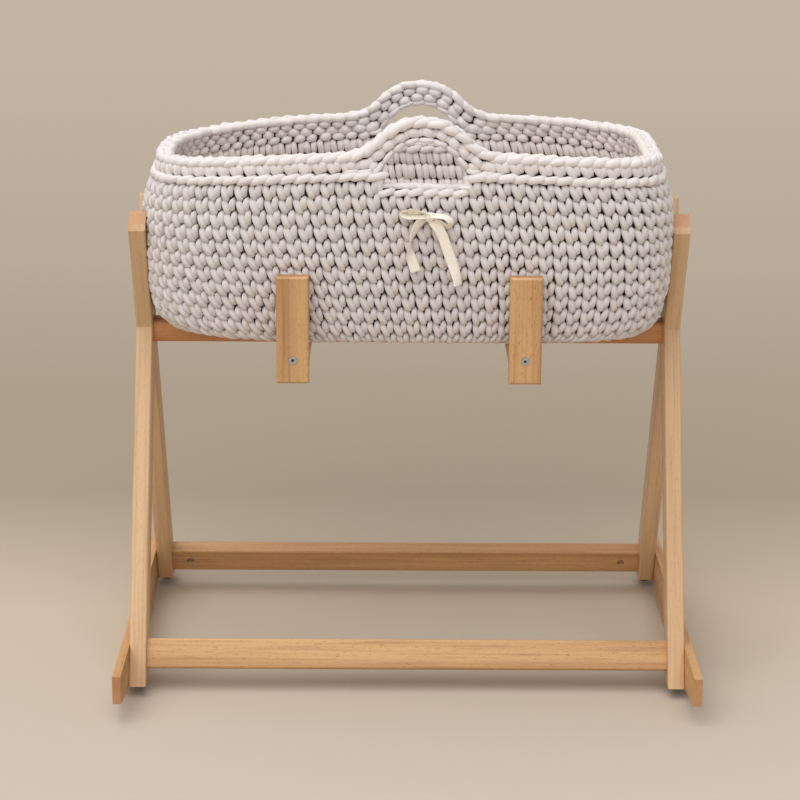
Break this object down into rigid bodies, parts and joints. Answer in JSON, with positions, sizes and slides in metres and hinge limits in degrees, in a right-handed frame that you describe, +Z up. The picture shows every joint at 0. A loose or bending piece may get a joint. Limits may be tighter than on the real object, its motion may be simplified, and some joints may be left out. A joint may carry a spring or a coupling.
{
  "type": "moses basket stand",
  "caption": "Beech rocking stand with crossed ends on curved rocker boards, a spine rail and a cradle of short uprights, holding a soft crocheted moses basket that lifts out.",
  "frame": {"origin": "on the floor under the middle of the stand, level with the lowest line of the rockers", "axes": "+X along the basket to the right, +Y from the front to the back, +Z up"},
  "size_m": [0.844, 0.6942, 0.8533],
  "materials": {
    "beech": "clear satin lacquer",
    "zinc": "bright zinc plate",
    "rubber": "matt",
    "yarn": "crocheted cotton tape yarn",
    "cotton_tape": "plain woven cotton tape"
  },
  "bodies": {
    "stand": {"left_front_leg": "beech", "left_rear_leg": "beech", "right_front_leg": "beech", "right_rear_leg": "beech", "left_rocker": "beech", "right_rocker": "beech", "front_stretcher": "beech", "rear_stretcher": "beech", "spine_rail": "beech", "left_cross_bar": "beech", "right_cross_bar": "beech", "left_front_upright": "beech", "left_rear_upright": "beech", "right_front_upright": "beech", "right_rear_upright": "beech", "stretcher_dowels": "beech", "spine_dowels": "beech", "upright_dowels": "beech", "stretcher_bolts": "zinc", "stretcher_nuts": "zinc", "spine_bolts": "zinc", "spine_nuts": "zinc", "upright_bolts": "zinc", "upright_nuts": "zinc", "lap_screws": "zinc", "foot_pads": "rubber"},
    "basket": {"basket_body": "yarn", "front_handle": "yarn", "rear_handle": "yarn", "tape_bow": "cotton_tape"}
  },
  "joints": [
    {"name": "basket_lift", "type": "slide", "parent": "stand", "child": "basket", "axis": [0, 0, 1], "range_m": [0, 0.3]}
  ]
}
